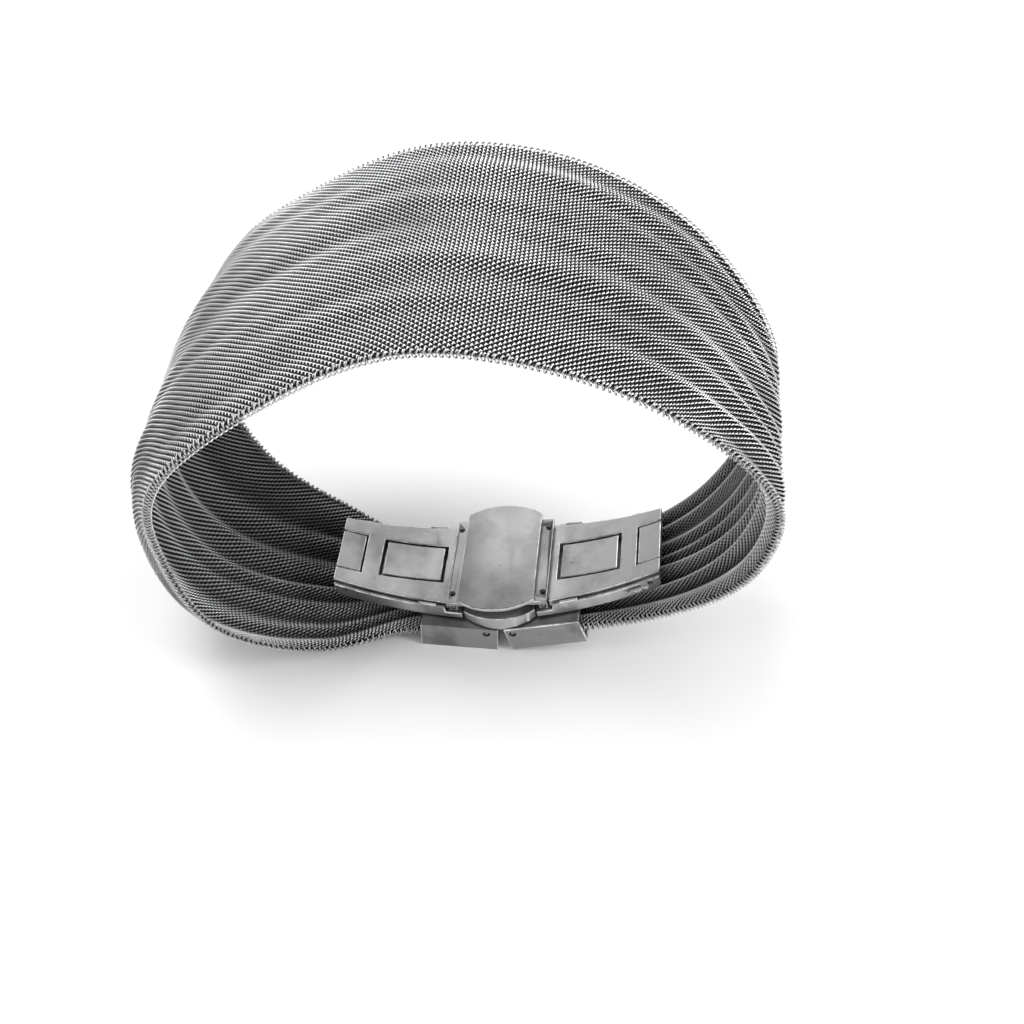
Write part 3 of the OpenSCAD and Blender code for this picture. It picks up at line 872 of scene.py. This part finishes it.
class BRACELET_OT_set_stage(bpy.types.Operator):
    """Lay the floor, hang the lights and place the camera"""

    bl_idname = "bracelet.set_stage"
    bl_label = "Set the stage"
    bl_options = {"REGISTER", "UNDO"}

    def execute(self, context):
        scene = context.scene
        sizes = scene.bracelet_stage
        self.lay_floor(scene, scene.bracelet_finishes.floor)
        self.fill_sky(scene, sizes.sky)
        for name, (place, size, setting) in LIGHTS.items():
            self.hang_light(scene, name, place, size, getattr(sizes, setting))
        self.place_camera(scene, sizes)
        scene.view_settings.view_transform = "Standard"
        return {"FINISHED"}

    def lay_floor(self, scene, shade):
        form = bmesh.new()
        bmesh.ops.create_grid(form, x_segments=4, y_segments=4, size=FLOOR_REACH)
        mesh = bpy.data.meshes.new("floor")
        form.to_mesh(mesh)
        form.free()
        mesh.materials.append(floor_material(shade))
        floor = bpy.data.objects.new("floor", mesh)
        scene.collection.objects.link(floor)

    def fill_sky(self, scene, strength):
        sky = bpy.data.worlds.new("even_light")
        scene.world = sky
        sky.use_nodes = True
        background = sky.node_tree.nodes["Background"]
        background.inputs["Color"].default_value = (1.0, 1.0, 1.0, 1.0)
        background.inputs["Strength"].default_value = strength

    def hang_light(self, scene, name, place, size, watts):
        lamp = bpy.data.lights.new(name, "AREA")
        lamp.shape = "SQUARE"
        lamp.size = size
        lamp.energy = watts
        light = bpy.data.objects.new(name, lamp)
        light.location = place
        light.rotation_mode = "QUATERNION"
        aim = Vector(LIGHT_AIM) - Vector(place)
        light.rotation_quaternion = aim.to_track_quat("-Z", "Y")
        scene.collection.objects.link(light)

    def place_camera(self, scene, sizes):
        lens = bpy.data.cameras.new("camera")
        lens.lens = sizes.lens
        lens.sensor_width = sizes.sensor
        lens.clip_start = 0.005
        lens.clip_end = 10.0
        camera = bpy.data.objects.new("camera", lens)
        back = Vector(
            (
                math.sin(sizes.turn) * math.cos(sizes.rise),
                -math.cos(sizes.turn) * math.cos(sizes.rise),
                math.sin(sizes.rise),
            )
        )
        camera.location = Vector(sizes.target) + back * sizes.distance
        camera.rotation_mode = "QUATERNION"
        camera.rotation_quaternion = (-back).to_track_quat("-Z", "Y")
        scene.collection.objects.link(camera)
        scene.camera = camera


class BRACELET_PT_panel(bpy.types.Panel):
    """Steps and sizes of the bracelet"""

    bl_idname = "BRACELET_PT_panel"
    bl_label = "Mesh bracelet"
    bl_space_type = "VIEW_3D"
    bl_region_type = "UI"
    bl_category = "Bracelet"

    def draw(self, context):
        for step in STEPS:
            self.layout.operator(step.bl_idname)
        for setting in GROUPS:
            group = getattr(context.scene, setting)
            box = self.layout.box()
            for name in group.__annotations__:
                box.prop(group, name)


STEPS = (
    BRACELET_OT_weave_band,
    BRACELET_OT_finish_clasp,
    BRACELET_OT_finish_pins,
    BRACELET_OT_set_stage,
)
GROUPS = {
    "bracelet_band": BandSizes,
    "bracelet_finishes": Finishes,
    "bracelet_stage": StageSizes,
}


def register():
    for group in GROUPS.values():
        bpy.utils.register_class(group)
    for name, group in GROUPS.items():
        setattr(bpy.types.Scene, name, PointerProperty(type=group))
    for item in (*STEPS, BRACELET_PT_panel):
        bpy.utils.register_class(item)


def unregister():
    for item in (BRACELET_PT_panel, *reversed(STEPS)):
        bpy.utils.unregister_class(item)
    for name in GROUPS:
        delattr(bpy.types.Scene, name)
    for group in reversed(GROUPS.values()):
        bpy.utils.unregister_class(group)


def main():
    register()
    bpy.ops.bracelet.weave_band()
    bpy.ops.bracelet.finish_clasp()
    bpy.ops.bracelet.finish_pins()
    bpy.ops.bracelet.set_stage()


if __name__ == "__main__":
    main()
